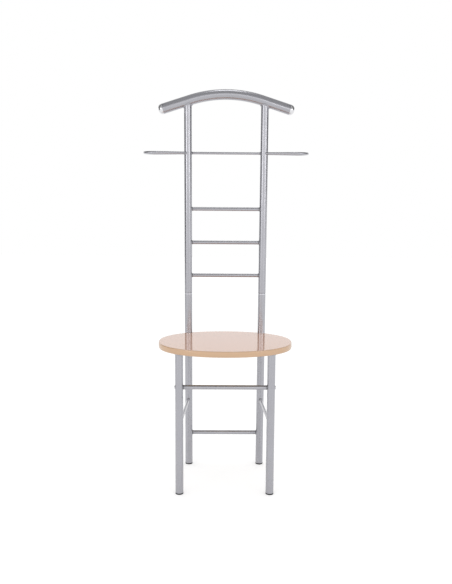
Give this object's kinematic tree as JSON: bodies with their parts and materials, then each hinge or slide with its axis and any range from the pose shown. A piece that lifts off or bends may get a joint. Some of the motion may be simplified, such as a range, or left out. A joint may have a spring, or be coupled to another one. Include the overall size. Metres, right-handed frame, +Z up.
{
  "type": "clothes valet chair",
  "caption": "Free-standing clothes valet: tube frame with a bent shoulder hanger, trouser rail with side loops, rungs, and an oval wooden seat on tube legs.",
  "frame": {"origin": "middle of the box's footprint on the floor, under the feet", "axes": "+Z up, -Y to the front of the seat, +X to the right of someone who faces the seat's front from -Y"},
  "size_m": [0.528, 0.32, 1.245],
  "materials": {
    "satin_tube": "satin silver, fine grained",
    "polished_caps": "polished chrome plate",
    "zinc_steel": "plain zinc plate",
    "black_plastic": "moulded, fine texture",
    "beech_board": "sanded beech ply, lacquered",
    "beech_edge": "lacquered beech edging",
    "pale_laminate": "high gloss, pale pinkish beech laminate"
  },
  "bodies": {
    "root": {"hanger_tube": "satin_tube", "hanger_cap_left": "polished_caps", "hanger_cap_right": "polished_caps", "upright_left": "satin_tube", "upright_right": "satin_tube", "spigot_left": "zinc_steel", "spigot_right": "zinc_steel", "trouser_rail": "satin_tube", "rail_loop_left": "satin_tube", "rail_loop_right": "satin_tube", "rung_lower": "satin_tube", "rung_middle": "satin_tube", "rung_upper": "satin_tube", "rear_leg_left": "satin_tube", "rear_leg_right": "satin_tube", "front_leg_left": "satin_tube", "front_leg_right": "satin_tube", "front_bar": "satin_tube", "front_bar_bolts": "polished_caps", "front_bar_washers": "satin_tube", "rear_bar": "satin_tube", "side_stretcher_left": "satin_tube", "side_stretcher_right": "satin_tube", "seat_board": "beech_board", "seat_laminate": "pale_laminate", "seat_edge_band": "beech_edge", "seat_bearer_left": "satin_tube", "seat_bearer_right": "satin_tube", "seat_screws": "zinc_steel", "foot_rear_left": "black_plastic", "foot_rear_right": "black_plastic", "foot_front_left": "black_plastic", "foot_front_right": "black_plastic"}
  },
  "joints": []
}
